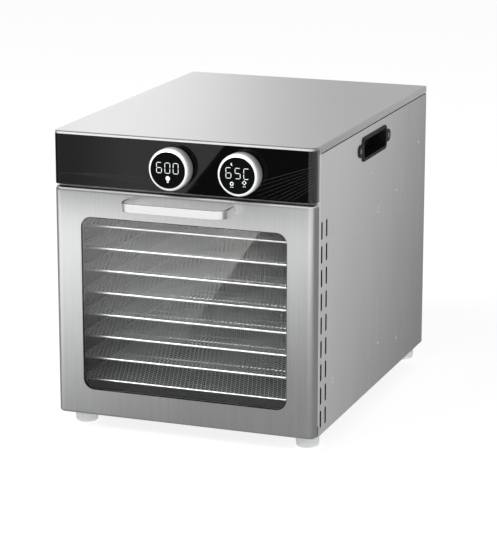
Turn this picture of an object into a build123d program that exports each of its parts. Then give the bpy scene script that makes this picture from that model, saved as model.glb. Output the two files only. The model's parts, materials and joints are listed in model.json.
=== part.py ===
from build123d import *
import os
from math import cos, radians, sin

# A bench-top food dehydrator: a stainless cabinet on four feet, a drop-down glass door,
# eight trays on rails, a fan and heater behind a rear baffle, and two display knobs above.
# Millimetres. X runs left to right seen from the front, Y from the front to the rear, Z up.
# The origin is under the middle of the whole object, on the surface that it stands on. Heights
# in this file are counted from a datum 12 mm below the body, and every piece is raised by
# FLOOR_LIFT as it is saved, so that the feet stand on Z = 0.

# ---------------------------------------------------------------- driving sizes
BODY_W = 317.0
BODY_D = 432.0
BODY_H = 335.0
FOOT_H = 19.0
HANDLE_REACH = 35.0
REAR_PROUD = 2.0
SHEET = 1.2
CORNER_R = 9.0

Y_FRONT = (HANDLE_REACH - BODY_D - REAR_PROUD) / 2
Y_REAR = Y_FRONT + BODY_D
Z_BASE = 12.0
Z_TOP = Z_BASE + BODY_H
FLOOR_LIFT = FOOT_H - Z_BASE
HALF_W = BODY_W / 2

# door and control panel, both flush with the front plane
DOOR_T = 10.5
DOOR_SKIN = 1.0
DOOR_TOP_Z = 282.5
DOOR_TOP_R = 5.0
DOOR_BOTTOM_R = 3.0
WINDOW_W = 250.0
WINDOW_Z = (43.0, 249.0)
WINDOW_R = 13.0
GLASS_T = 4.0
GLASS_LAP = 6.0
PIVOT_Y = Y_FRONT + 6.0
PIVOT_Z = Z_BASE + 6.0
PIN_R = 2.5
PANEL_Z = (285.0, 343.2)
PANEL_T = 2.5

# cabinet shell
FRAME_Y = (Y_FRONT + 11.0, Y_FRONT + 18.0)
FRAME_T = 1.5
SIDE_Y0 = Y_FRONT + 18.3
SIDE_TOP_Z = 337.3
COVER_SKIRT_Z = 338.5
COVER_LIP_Z = 343.5

# drying chamber
CHAMBER_HALF_W = 146.0
CHAMBER_Z = (29.0, 265.0)
LINER_T = 1.0
BAFFLE_Y = Y_FRONT + 364.0
MOUTH_Z = (30.0, 264.0)

# trays and rails
TRAY_COUNT = 8
TRAY_PITCH = 26.5
TRAY_Z0 = 44.5
TRAY_W = 287.0
TRAY_Y = (Y_FRONT + 30.0, Y_FRONT + 360.0)
RIM_W = 4.0
RIM_H = 3.2
RAIL_REACH = 8.0
RAIL_T = 1.5
RAIL_LEG = 8.0
RAIL_Y = (Y_FRONT + 20.0, Y_FRONT + 362.0)

# side vents
SLOT_COUNT = 9
SLOT_PITCH = 27.4
SLOT_TOP_Z = 260.5
SLOT_SIZE = (4.8, 20.4)
SLOT_Y = (Y_FRONT + 21.2, Y_FRONT + 38.0)

# fan, motor and heater, on one axis behind the baffle
FAN_Z = 147.0
FAN_R = 72.0
SHAFT_R = 3.0
MOTOR_Y = Y_FRONT + 398.0
HEATER_R = 92.0
HEATER_TUBE_R = 3.5
HEATER_Y = Y_FRONT + 384.0

# display knobs
KNOB_X = {"left": -10.0, "right": 72.5}
KNOB_Z = 314.0
KNOB_R = 24.0
KNOB_FACE_Y = Y_FRONT - 17.5
DISPLAY_R = 20.6
STEM_R = 7.0

# side grips
GRIP_Y = 13.0
GRIP_Z = 314.0
GRIP_POCKET = (86.0, 21.0)
GRIP_DEPTH = 18.0

RUNNING = 0.06
CLEAR = 0.3


# ---------------------------------------------------------------- helpers
def block(xs, ys, zs):
    """A box between two X, two Y and two Z values."""
    centre = Pos((xs[0] + xs[1]) / 2, (ys[0] + ys[1]) / 2, (zs[0] + zs[1]) / 2)
    return centre * Box(abs(xs[1] - xs[0]), abs(ys[1] - ys[0]), abs(zs[1] - zs[0]))


def prism_x(sketch, x0, x1):
    """A sketch drawn in Y and Z, drawn out from x0 to x1."""
    plane = Plane(origin=(x0, 0, 0), x_dir=(0, 1, 0), z_dir=(1, 0, 0))
    return extrude(plane * sketch, x1 - x0)


def prism_y(sketch, y0, y1):
    """A sketch drawn in X and Z, drawn out from y0 to y1."""
    plane = Plane(origin=(0, y1, 0), x_dir=(1, 0, 0), z_dir=(0, -1, 0))
    return extrude(plane * sketch, y1 - y0)


def rod_x(radius, x0, x1, y, z):
    """A round bar along X."""
    return prism_x(Pos(y, z) * Circle(radius), x0, x1)


def rod_y(radius, y0, y1, x, z):
    """A round bar along Y."""
    return prism_y(Pos(x, z) * Circle(radius), y0, y1)


def rod_z(radius, z0, z1, x, y):
    """A round bar along Z."""
    return Pos(x, y, (z0 + z1) / 2) * Cylinder(radius, z1 - z0)


def both_sides(solid):
    """A solid and its mirror image across the middle plane."""
    return [solid, mirror(solid, about=Plane.YZ)]


def front_rounded(half_w, ys, zs, corner_r, top_r=0.0, bottom_r=0.0):
    """A box whose two front upright edges are rounded, and its front top and bottom rims too."""
    body = block((-half_w, half_w), ys, zs)
    uprights = body.edges().filter_by(Axis.Z).sort_by(Axis.Y)[:2]
    body = fillet(uprights, corner_r)
    if top_r:
        body = fillet(rim_edges(body, ys[1], top=True), top_r)
    if bottom_r:
        body = fillet(rim_edges(body, ys[1], top=False), bottom_r)
    return body


def rim_edges(body, y_back, top):
    """The edges round the top or bottom face, apart from its rear edge."""
    face = body.faces().sort_by(Axis.Z)[-1 if top else 0]
    return [edge for edge in face.edges() if edge.center().Y < y_back - 0.01]


def save(name, *solids):
    """Write one node, of one solid or of several separate ones."""
    raised = [Pos(0, 0, FLOOR_LIFT) * solid for solid in solids]
    shape = raised[0] if len(raised) == 1 else Compound(children=raised)
    export_step(shape, os.path.join("parts", name + ".step"))


# ---------------------------------------------------------------- cabinet
def slot_row(solid, y, x_span):
    """Cut one upright row of vent slots through a side wall."""
    width, length = SLOT_SIZE
    for index in range(SLOT_COUNT):
        z = SLOT_TOP_Z - length / 2 - index * SLOT_PITCH
        outline = Pos(y, z) * Rot(0, 0, 90) * SlotOverall(length, width)
        solid -= prism_x(outline, *x_span)
    return solid


def top_cover():
    """The lid: a flat sheet with a thin front lip and deeper skirts at the sides and rear."""
    outer = front_rounded(HALF_W, (Y_FRONT, Y_REAR), (COVER_SKIRT_Z, Z_TOP), CORNER_R)
    top = outer.faces().sort_by(Axis.Z)[-1]
    outer = fillet(top.edges(), 1.5)
    inner_ys = (Y_FRONT + SHEET, Y_REAR - SHEET)
    inner_zs = (COVER_SKIRT_Z - 1, Z_TOP - SHEET)
    inner = front_rounded(HALF_W - SHEET, inner_ys, inner_zs, CORNER_R - SHEET)
    front_ys = (Y_FRONT - 1, FRAME_Y[0] + 0.2)
    front = block((-HALF_W - 1, HALF_W + 1), front_ys, (COVER_SKIRT_Z - 1, COVER_LIP_Z))
    return outer - inner - front


RIVETS = [
    (10.1, 278.2), (202.1, 280.1), (108.9, 237.8), (35.9, 231.2), (32.6, 227.0), (-174.2, 275.5),
    (-136.4, 231.6), (-136.4, 226.4), (40.1, 62.0), (117.2, 47.6), (-134.0, 66.6), (-134.0, 61.6),
]
RIVET_R = 1.9
RIVET_SHANK_R = 1.2


def side_panel():
    """The right outer side: a sheet with an inward top flange, two rows of vents and the grip's hole."""
    xs = (HALF_W - SHEET, HALF_W)
    panel = block(xs, (SIDE_Y0, Y_REAR - SHEET), (Z_BASE, SIDE_TOP_Z))
    panel += block((HALF_W - 14, HALF_W), (SIDE_Y0, Y_REAR - SHEET), (SIDE_TOP_Z - SHEET, SIDE_TOP_Z))
    cut_xs = (HALF_W - 3, HALF_W + 1)
    for y in SLOT_Y:
        panel = slot_row(panel, y, cut_xs)
    hole = RectangleRounded(GRIP_POCKET[0] + 4.6, GRIP_POCKET[1] + 4.6, 5)
    panel -= prism_x(Pos(GRIP_Y, GRIP_Z) * hole, *cut_xs)
    for y in grip_screw_ys():
        panel -= rod_x(1.9, *cut_xs, y, GRIP_Z)
    for y, z in RIVETS:
        panel -= rod_x(RIVET_SHANK_R, *cut_xs, y, z)
    return panel


def side_rivets():
    """The rivets of both sides, each a shallow dome on a shank."""
    pieces = []
    for y, z in RIVETS:
        dome = Rot(0, 90, 0) * Cone(RIVET_R, RIVET_R * 0.55, 0.7)
        rivet = Pos(HALF_W + 0.35, y, z) * dome + rod_x(RIVET_SHANK_R, HALF_W - 3.0, HALF_W, y, z)
        pieces += both_sides(rivet)
    return pieces


def base_pan():
    """The floor sheet, with its four edges turned up and holes for the feet's screws."""
    half_w = HALF_W - SHEET - 0.1
    ys = (FRAME_Y[1] + 0.3, Y_REAR - SHEET - 0.1)
    pan = block((-half_w, half_w), ys, (Z_BASE, Z_BASE + 14))
    inner_ys = (ys[0] + SHEET, ys[1] - SHEET)
    pan -= block((-half_w + SHEET, half_w - SHEET), inner_ys, (Z_BASE + SHEET, Z_BASE + 20))
    for x, y in foot_places():
        pan -= rod_z(2.2, Z_BASE - 1, Z_BASE + 3, x, y)
    return pan


def foot_places():
    """The four feet's centres."""
    return [(x, y) for x in (-138.0, 138.0) for y in (Y_FRONT + 36.5, Y_REAR - 17.0)]


def feet():
    """Four tapered feet, each with a deep recess for its screw."""
    pieces = []
    sole = Z_BASE - FOOT_H
    for x, y in foot_places():
        foot = Pos(x, y, sole + FOOT_H / 2) * Cone(12.8, 14.6, FOOT_H)
        foot = fillet(foot.edges().sort_by(Axis.Z)[0], 2.0)
        foot -= rod_z(5.0, sole - 1, 5.0, x, y)
        foot -= rod_z(2.2, 0, Z_BASE + 1, x, y)
        pieces.append(foot)
    return pieces


def foot_screws():
    """One pan-head screw up through each foot."""
    return [rod_z(4.2, 2.2, 5.0, x, y) + rod_z(2.0, 5.0, 22.0, x, y) for x, y in foot_places()]


def front_frame():
    """The cabinet's face: a plate with turned-back edges, open at the chamber's mouth."""
    zs = (Z_BASE, COVER_SKIRT_Z - 0.3)
    frame = block((-HALF_W, HALF_W), FRAME_Y, zs)
    pocket_zs = (Z_BASE + FRAME_T, zs[1] - FRAME_T)
    half_pocket = HALF_W - FRAME_T
    frame -= block((-half_pocket, half_pocket), (FRAME_Y[0] + FRAME_T, FRAME_Y[1] + 1), pocket_zs)
    frame -= block((-CHAMBER_HALF_W, CHAMBER_HALF_W), (FRAME_Y[0] - 1, FRAME_Y[1]), MOUTH_Z)
    relief_z = Z_BASE + 13.0
    frame -= block((-HALF_W - 1, HALF_W + 1), (FRAME_Y[0] - 1, FRAME_Y[0] + 2.5), (Z_BASE - 1, relief_z))
    for x in KNOB_X.values():
        frame -= rod_y(STEM_R + 2, FRAME_Y[0] - 1, FRAME_Y[1], x, KNOB_Z)
    return frame


VENT_ROWS = 9
VENT_COLS = 3
INLET_X = -110.0
INLET_Z = 52.0
INLET_CUT = (27.6, 20.4)


def rear_screw_places():
    """The rear panel's screws: six round its edge."""
    return [(x, z) for x in (-148.0, 148.0) for z in (34.0, 174.0, 326.0)]


def rear_panel():
    """The back sheet, with a louvre field behind the motor and the power inlet's hole."""
    ys = (Y_REAR - SHEET, Y_REAR)
    panel = block((-HALF_W, HALF_W), ys, (Z_BASE, SIDE_TOP_Z))
    cut = (ys[0] - 1, ys[1] + 1)
    for row in range(VENT_ROWS):
        z = FAN_Z + (row - (VENT_ROWS - 1) / 2) * 12.0
        for col in range(VENT_COLS):
            x = (col - (VENT_COLS - 1) / 2) * 42.0
            panel -= prism_y(Pos(x, z) * SlotOverall(34.0, 4.0), *cut)
    panel -= prism_y(Pos(INLET_X, INLET_Z) * RectangleRounded(*INLET_CUT, 2), *cut)
    for x, z in rear_screw_places():
        panel -= rod_y(1.7, *cut, x, z)
    return panel


def rear_screws():
    """Pan-head screws that hold the rear panel."""
    pieces = []
    for x, z in rear_screw_places():
        head = rod_y(3.4, Y_REAR, Y_REAR + 1.6, x, z)
        head = fillet(head.edges().sort_by(Axis.Y)[-1], 0.8)
        head -= block((x - 2.2, x + 2.2), (Y_REAR + 0.9, Y_REAR + 2), (z - 0.35, z + 0.35))
        head -= block((x - 0.35, x + 0.35), (Y_REAR + 0.9, Y_REAR + 2), (z - 2.2, z + 2.2))
        pieces.append(head + rod_y(1.5, Y_REAR - 8, Y_REAR, x, z))
    return pieces


# ---------------------------------------------------------------- drying chamber
def chamber_wall():
    """The chamber's right wall, with the same vent slots as the outer side."""
    xs = (CHAMBER_HALF_W, CHAMBER_HALF_W + LINER_T)
    wall = block(xs, (FRAME_Y[1] + CLEAR, BAFFLE_Y), CHAMBER_Z)
    for y in SLOT_Y:
        wall = slot_row(wall, y, (xs[0] - 1, xs[1] + 1))
    return wall


LAMP_Y = Y_FRONT + 190.0
LAMP_SIZE = (58.0, 30.0)


def chamber_sheet(zs):
    """A flat sheet as wide and deep as the chamber."""
    half_w = CHAMBER_HALF_W + LINER_T
    return block((-half_w, half_w), (FRAME_Y[1] + CLEAR, BAFFLE_Y), zs)


def chamber_ceiling():
    """The chamber's top, with the lamp's hole and four pressed-in posts for the power board."""
    sheet = chamber_sheet((CHAMBER_Z[1], CHAMBER_Z[1] + LINER_T))
    hole = Pos(0, LAMP_Y) * RectangleRounded(LAMP_SIZE[0] + 0.6, LAMP_SIZE[1] + 0.6, 5)
    sheet -= extrude(Plane.XY.offset(CHAMBER_Z[1] - 1) * hole, 4)
    for x, y in post_places():
        sheet += rod_z(3.5, CHAMBER_Z[1], BOARD_Z, x, y) + rod_z(1.6, BOARD_Z, BOARD_Z + 4, x, y)
    return sheet


def chamber_floor():
    """The chamber's bottom sheet."""
    return chamber_sheet((CHAMBER_Z[0] - LINER_T, CHAMBER_Z[0]))


def rear_baffle():
    """The plate in front of the fan, with a field of air holes."""
    half_w = CHAMBER_HALF_W + LINER_T
    ys = (BAFFLE_Y, BAFFLE_Y + SHEET)
    plate = block((-half_w, half_w), ys, (CHAMBER_Z[0] - LINER_T, CHAMBER_Z[1] + LINER_T))
    for row in range(7):
        for col in range(8):
            x = (col - 3.5) * 32.0
            z = FAN_Z + (row - 3) * 30.0
            plate -= rod_y(6.5, ys[0] - 1, ys[1] + 1, x, z)
    plate -= rod_y(3.1, ys[0] - 1, ys[1] + 1, *PROBE_PLACE)
    return plate


def tray_z(index):
    """The underside of one tray, counted from the lowest."""
    return TRAY_Z0 + index * TRAY_PITCH


def tray_rails():
    """Eight right-hand rails, each an angle with its ledge under a tray's edge."""
    pieces = []
    for index in range(TRAY_COUNT):
        top = tray_z(index) - CLEAR
        ledge = block((CHAMBER_HALF_W - RAIL_REACH, CHAMBER_HALF_W), RAIL_Y, (top - RAIL_T, top))
        leg = block((CHAMBER_HALF_W - RAIL_T, CHAMBER_HALF_W), RAIL_Y, (top - RAIL_LEG, top))
        pieces.append(ledge + leg)
    return pieces


def tray(index):
    """One tray: a wire rim with a mesh floor and two stiffening bars, welded into one piece."""
    z = tray_z(index)
    depth = TRAY_Y[1] - TRAY_Y[0]
    middle = (TRAY_Y[0] + TRAY_Y[1]) / 2
    outline = Pos(0, middle) * RectangleRounded(TRAY_W, depth, 6)
    inside = Pos(0, middle) * RectangleRounded(TRAY_W - 2 * RIM_W, depth - 2 * RIM_W, 3)
    rim = extrude(Plane.XY.offset(z) * (outline - inside), RIM_H)
    floor = Pos(0, middle) * RectangleRounded(TRAY_W - RIM_W, depth - RIM_W, 4)
    rim += extrude(Plane.XY.offset(z + 1.3) * floor, 0.5)
    for y in (TRAY_Y[0] + depth / 3, TRAY_Y[1] - depth / 3):
        rim += block((-TRAY_W / 2 + 2, TRAY_W / 2 - 2), (y - 1.5, y + 1.5), (z, z + 1.3))
    return rim


# ---------------------------------------------------------------- air and heat
def fan_shaft():
    """The motor's shaft, which carries the fan."""
    return rod_y(SHAFT_R, Y_FRONT + 369, MOTOR_Y + 14, 0, FAN_Z)


def fan_nut():
    """The hexagon nut that holds the fan on its shaft."""
    nut = prism_y(Pos(0, FAN_Z) * RegularPolygon(6.0, 6), Y_FRONT + 370.5, Y_FRONT + 374)
    return nut - rod_y(SHAFT_R, Y_FRONT + 370, Y_FRONT + 375, 0, FAN_Z)


def fan_blades():
    """A hub and back disc with ten leaned radial blades."""
    ys = (Y_FRONT + 374, Y_FRONT + 393)
    wheel = rod_y(10, *ys, 0, FAN_Z) + rod_y(FAN_R, ys[1] - SHEET, ys[1], 0, FAN_Z)
    for index in range(10):
        blade = Pos(FAN_R * 0.53, 6) * Rot(0, 0, 14) * Rectangle(FAN_R * 0.78, 1.4)
        outline = Pos(0, FAN_Z) * Rot(0, 0, index * 36.0) * blade
        wheel += prism_y(outline, ys[0] + 1, ys[1] - 0.4)
    return wheel - rod_y(SHAFT_R, ys[0] - 1, ys[1] + 1, 0, FAN_Z)


def fan_motor():
    """The motor: a stepped round can with a bore for its shaft."""
    can = rod_y(28, MOTOR_Y, MOTOR_Y + 22, 0, FAN_Z) + rod_y(14, MOTOR_Y + 22, MOTOR_Y + 27, 0, FAN_Z)
    return can - rod_y(SHAFT_R + RUNNING, MOTOR_Y - 1, MOTOR_Y + 14.5, 0, FAN_Z)


def motor_bracket():
    """A strap across the rear bay that carries the motor, bent back to the rear panel."""
    zs = (FAN_Z - 22, FAN_Z + 22)
    plate_ys = (MOTOR_Y - 1.5, MOTOR_Y)
    back = Y_REAR - SHEET
    strap = block((-80, 80), plate_ys, zs) - rod_y(8, plate_ys[0] - 1, plate_ys[1] + 1, 0, FAN_Z)
    for side in (-1, 1):
        strap += block((side * 78.5, side * 80), (plate_ys[0], back), zs)
        strap += block((side * 78.5, side * 92), (back - 1.5, back), zs)
    return strap


def heater_element():
    """A tubular heater bent into an open ring round the fan, its two ends turned to the rear."""
    centre = (0, HEATER_Y, FAN_Z)
    section = Pos(HEATER_R, HEATER_Y, FAN_Z) * Circle(HEATER_TUBE_R)
    ring = revolve(section, Axis(centre, (0, 1, 0)), 340)
    ends = ring.faces().filter_by(GeomType.PLANE)
    for face in ends:
        middle = face.center()
        ring += rod_y(HEATER_TUBE_R, HEATER_Y - HEATER_TUBE_R, Y_REAR - 12, middle.X, middle.Z)
    return ring


def heater_clips():
    """Three straps that hang the heater from the baffle."""
    pieces = []
    torus = Pos(0, HEATER_Y, FAN_Z) * Rot(90, 0, 0) * Torus(HEATER_R, HEATER_TUBE_R + 0.1)
    for angle in (90, 200, 320):
        clip = Pos(HEATER_R, 0, 0) * Box(12, 26, 2.0)
        clip = Pos(0, BAFFLE_Y + SHEET + 13, FAN_Z) * Rot(0, -angle, 0) * clip
        pieces.append(clip - torus)
    return pieces


CUTOUT_PLACE = (112.0, 232.0)
PROBE_PLACE = (-80.0, 256.0)


def thermal_cutout():
    """A round snap thermostat with two terminals, on the back of the baffle."""
    x, z = CUTOUT_PLACE
    y0 = BAFFLE_Y + SHEET
    body = rod_y(8, y0, y0 + 8, x, z) + block((x - 12, x + 12), (y0, y0 + 1), (z - 4, z + 4))
    for dx in (-4, 4):
        body += block((x + dx - 2.4, x + dx + 2.4), (y0 + 7, y0 + 17), (z - 0.4, z + 0.4))
    return body


def temperature_probe():
    """A thin sensor tube through the baffle, with its nut."""
    x, z = PROBE_PLACE
    tube = rod_y(2.2, BAFFLE_Y - 28, BAFFLE_Y + 12, x, z)
    tube = fillet(tube.edges().sort_by(Axis.Y)[0], 1.6)
    return tube + prism_y(Pos(x, z) * RegularPolygon(5, 6), BAFFLE_Y + SHEET, BAFFLE_Y + SHEET + 4)


def lamp_lens():
    """The lamp's moulded lens, set down through the ceiling."""
    outline = Pos(0, LAMP_Y) * RectangleRounded(*LAMP_SIZE, 4.7)
    lens = extrude(Plane.XY.offset(CHAMBER_Z[1] - 5) * outline, 6)
    lens = fillet(lens.faces().sort_by(Axis.Z)[0].edges(), 3)
    hollow = Pos(0, LAMP_Y) * RectangleRounded(LAMP_SIZE[0] - 6, LAMP_SIZE[1] - 6, 3)
    return lens - extrude(Plane.XY.offset(CHAMBER_Z[1] - 2.5) * hollow, 6)


def lamp_housing():
    """The lamp's holder above the ceiling, with its bulb block."""
    z0 = CHAMBER_Z[1] + LINER_T
    outline = Pos(0, LAMP_Y) * RectangleRounded(LAMP_SIZE[0] + 10, LAMP_SIZE[1] + 10, 5)
    inner = Pos(0, LAMP_Y) * RectangleRounded(LAMP_SIZE[0] - 4, LAMP_SIZE[1] - 4, 3)
    shell = extrude(Plane.XY.offset(z0) * outline, 14) - extrude(Plane.XY.offset(z0) * inner, 12)
    return shell + block((-20, 20), (LAMP_Y - 6, LAMP_Y + 6), (z0 + 6, z0 + 12.5))


# ---------------------------------------------------------------- controls
def control_panel():
    """The glossy fascia above the door, with its upright edges rolled back to the frame."""
    ys = (Y_FRONT, FRAME_Y[0])
    panel = front_rounded(HALF_W, ys, PANEL_Z, CORNER_R)
    inner_ys = (Y_FRONT + PANEL_T, ys[1] + 1)
    inner_zs = (PANEL_Z[0] + PANEL_T, PANEL_Z[1] - PANEL_T)
    panel -= front_rounded(HALF_W - PANEL_T, inner_ys, inner_zs, CORNER_R - PANEL_T)
    for x in KNOB_X.values():
        panel -= rod_y(STEM_R + 1.5, Y_FRONT - 1, Y_FRONT + 4, x, KNOB_Z)
    return panel


def knob_ring(x):
    """The turning ring: a sleeve whose front edge is rounded down to the display."""
    face = KNOB_FACE_Y
    back = Y_FRONT - 1.5
    sleeve = rod_y(KNOB_R, face, back, x, KNOB_Z)
    front_edge = sleeve.edges().filter_by(GeomType.CIRCLE).sort_by(Axis.Y)[0]
    sleeve = fillet(front_edge, 4.0)
    sleeve -= rod_y(DISPLAY_R + CLEAR, face - 1, face + 9.6, x, KNOB_Z)
    return sleeve - rod_y(16.3, face, back + 1, x, KNOB_Z)


def knob_core(x):
    """The knob's still centre: a disc, a neck behind the ring's lip and a stem into the encoder."""
    face = KNOB_FACE_Y
    disc = rod_y(DISPLAY_R, face + 2.2, face + 9.3, x, KNOB_Z)
    neck = rod_y(16.0, face + 9.3, Y_FRONT - 1.8, x, KNOB_Z)
    stem = rod_y(STEM_R, Y_FRONT - 1.8, Y_FRONT + 19, x, KNOB_Z)
    return disc + neck + stem


def knob_display(x):
    """The display's round window on the front of the core."""
    window = rod_y(DISPLAY_R, KNOB_FACE_Y + 0.2, KNOB_FACE_Y + 2.2, x, KNOB_Z)
    edge = window.edges().filter_by(GeomType.CIRCLE).sort_by(Axis.Y)[0]
    return fillet(edge, 0.5)


def knob_encoder(x):
    """The encoder behind the frame: a bushing round the stem, a switch body and its board."""
    y0 = FRAME_Y[0] + FRAME_T
    bushing = rod_y(11, y0, Y_FRONT + 20.3, x, KNOB_Z)
    bushing -= rod_y(STEM_R + RUNNING, y0 - 1, Y_FRONT + 21, x, KNOB_Z)
    body = block((x - 12, x + 12), (Y_FRONT + 20.3, Y_FRONT + 28), (KNOB_Z - 12, KNOB_Z + 12))
    board = block((x - 24, x + 24), (Y_FRONT + 28, Y_FRONT + 29.6), (KNOB_Z - 20, KNOB_Z + 20))
    return bushing + body + board


BOARD_X = (-70.0, 70.0)
BOARD_Y = (Y_FRONT + 255.0, Y_FRONT + 350.0)
BOARD_Z = CHAMBER_Z[1] + LINER_T + 12.0


def power_board():
    """The power board, with its transformer, relays, capacitors and terminal block."""
    board = block(BOARD_X, BOARD_Y, (BOARD_Z, BOARD_Z + 1.6))
    top = BOARD_Z + 1.6
    board += block((-60, -24), (BOARD_Y[0] + 12, BOARD_Y[0] + 44), (top, top + 28))
    for index in range(3):
        x = -8 + index * 22
        board += block((x, x + 16), (BOARD_Y[0] + 10, BOARD_Y[0] + 30), (top, top + 16))
    for index in range(2):
        board += rod_z(6, top, top + 22, 14 + index * 22, BOARD_Y[0] + 50)
    board += block((-50, 50), (BOARD_Y[1] - 18, BOARD_Y[1] - 6), (top, top + 11))
    for x, y in post_places():
        board -= rod_z(1.7, BOARD_Z - 1, top + 1, x, y)
    return board


def post_places():
    """The four corners where the power board is held."""
    return [(x, y) for x in (BOARD_X[0] + 5, BOARD_X[1] - 5) for y in (BOARD_Y[0] + 5, BOARD_Y[1] - 5)]


PIN_TIP_Y = Y_REAR + REAR_PROUD - 5.0


def inlet_pins():
    """The inlet's three flat pins: earth in the middle, set higher."""
    pins = []
    for dx, dz in ((-7.0, -1.5), (0.0, 2.5), (7.0, -1.5)):
        x = INLET_X + dx
        z = INLET_Z + dz
        pins.append(block((x - 1.0, x + 1.0), (Y_REAR - 26, PIN_TIP_Y), (z - 2.0, z + 2.0)))
    return pins


def power_inlet():
    """The panel-mounted appliance inlet, with its recess open to the rear."""
    flange = prism_y(Pos(INLET_X, INLET_Z) * RectangleRounded(34, 26, 3), Y_REAR, Y_REAR + REAR_PROUD)
    body = prism_y(Pos(INLET_X, INLET_Z) * RectangleRounded(27.2, 20.0, 2), Y_REAR - 19, Y_REAR + 1)
    recess = prism_y(Pos(INLET_X, INLET_Z) * RectangleRounded(24.2, 16.6, 3), Y_REAR - 15, Y_REAR + 5)
    inlet = flange + body - recess
    for pin in inlet_pins():
        inlet -= pin
    return inlet


# ---------------------------------------------------------------- side grips
def grip_screw_ys():
    """The two screws of a grip, one in each ear."""
    return (GRIP_Y - 54.5, GRIP_Y + 54.5)


def side_grip():
    """The right recessed grip: a flange with two ears and a finger pocket behind it."""
    xs = (HALF_W, HALF_W + 1.6)
    place = Pos(GRIP_Y, GRIP_Z)
    outline = place * (RectangleRounded(GRIP_POCKET[0] + 8, GRIP_POCKET[1] + 8, 6) + SlotOverall(124, 15))
    grip = prism_x(outline, *xs)
    grip = fillet(grip.faces().sort_by(Axis.X)[-1].edges(), 0.7)
    cup = place * RectangleRounded(GRIP_POCKET[0] + 4, GRIP_POCKET[1] + 4, 4.8)
    grip += prism_x(cup, HALF_W - GRIP_DEPTH - 2, HALF_W)
    grip -= prism_x(place * RectangleRounded(*GRIP_POCKET, 3.5), HALF_W - GRIP_DEPTH, HALF_W + 3)
    for y in grip_screw_ys():
        grip -= rod_x(1.9, HALF_W - 1, HALF_W + 3, y, GRIP_Z)
        grip -= rod_x(3.2, HALF_W + 0.6, HALF_W + 3, y, GRIP_Z)
    return grip


def grip_screws():
    """Two screws for each grip, their heads sunk in the ears."""
    pieces = []
    for y in grip_screw_ys():
        head = rod_x(3.0, HALF_W + 0.6, HALF_W + 1.5, y, GRIP_Z)
        head -= block((HALF_W + 1.1, HALF_W + 2), (y - 2.0, y + 2.0), (GRIP_Z - 0.3, GRIP_Z + 0.3))
        head -= block((HALF_W + 1.1, HALF_W + 2), (y - 0.3, y + 0.3), (GRIP_Z - 2.0, GRIP_Z + 2.0))
        pieces += both_sides(head + rod_x(1.6, HALF_W - 8, HALF_W + 0.6, y, GRIP_Z))
    return pieces


# ---------------------------------------------------------------- door
BRACKET_X = (145.0, 148.0)
LUG_XS = ((141.0, 143.0), (150.0, 152.0))
HANDLE_Z = (266.0, 276.0)
HANDLE_HALF_W = 64.0
HANDLE_T = 3.0
HANDLE_BEND_R = 14.5
STUD_R = 1.45
BRACKET_TIP_R = 4.5
BRACKET_ARM_H = 7.6


def window_hole(inset, y0, y1):
    """The window's rounded outline, made smaller all round by inset, as a cutter along Y."""
    height = WINDOW_Z[1] - WINDOW_Z[0]
    centre = Pos(0, (WINDOW_Z[0] + WINDOW_Z[1]) / 2)
    outline = RectangleRounded(WINDOW_W - 2 * inset, height - 2 * inset, WINDOW_R - inset)
    return prism_y(centre * outline, y0, y1)


def door_skin():
    """The door's outer pan, with rolled edges and the window's opening."""
    zs = (Z_BASE, DOOR_TOP_Z)
    outer = front_rounded(HALF_W, (Y_FRONT, Y_FRONT + DOOR_T), zs, CORNER_R, DOOR_TOP_R, DOOR_BOTTOM_R)
    t = DOOR_SKIN
    inner_ys = (Y_FRONT + t, Y_FRONT + DOOR_T + 1)
    inner_zs = (zs[0] + t, zs[1] - t)
    inner = front_rounded(HALF_W - t, inner_ys, inner_zs, CORNER_R - t, DOOR_TOP_R - t, DOOR_BOTTOM_R - t)
    skin = outer - inner - window_hole(0, Y_FRONT - 1, Y_FRONT + 3)
    for side in (-1, 1):
        xs = (side * (BRACKET_X[0] - 1.5), side * (BRACKET_X[1] + 1.5))
        skin -= block(xs, (Y_FRONT + 2.2, Y_FRONT + 12), (Z_BASE - 1, Z_BASE + 4))
        stud_x = side * (HANDLE_HALF_W - HANDLE_T / 2)
        skin -= rod_y(STUD_R + 0.15, Y_FRONT - 1, Y_FRONT + 2, stud_x, sum(HANDLE_Z) / 2)
    return skin


def door_inner_frame():
    """The door's rear plate round the glass, with two pairs of lugs for the hinge pins."""
    half_w = HALF_W - DOOR_SKIN - 0.2
    back = Y_FRONT + DOOR_T
    zs = (Z_BASE + DOOR_SKIN + 0.2, DOOR_TOP_Z - DOOR_SKIN - 0.2)
    plate = block((-half_w, half_w), (back - SHEET, back), zs)
    plate = fillet(plate.edges().filter_by(Axis.Y), DOOR_TOP_R) - window_hole(-1.0, back - 3, back + 1)
    for side in (-1, 1):
        notch_xs = (side * (BRACKET_X[0] - 1.5), side * (BRACKET_X[1] + 1.5))
        plate -= block(notch_xs, (back - 3, back + 1), (Z_BASE, PIVOT_Z + 10))
        for xs in LUG_XS:
            lug_xs = (side * xs[0], side * xs[1])
            plate += block(lug_xs, (Y_FRONT + 1.9, back), (PIVOT_Z - 4.0, PIVOT_Z + 6))
        plate -= rod_x(PIN_R, *sorted((side * 130, side * 157)), PIVOT_Y, PIVOT_Z)
    return plate


def hinge_pins():
    """Two round pins, pressed into the door's lugs and turning in the cabinet's brackets."""
    return both_sides(rod_x(PIN_R, LUG_XS[0][0] - 0.8, LUG_XS[1][1] + 0.8, PIVOT_Y, PIVOT_Z))


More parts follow.
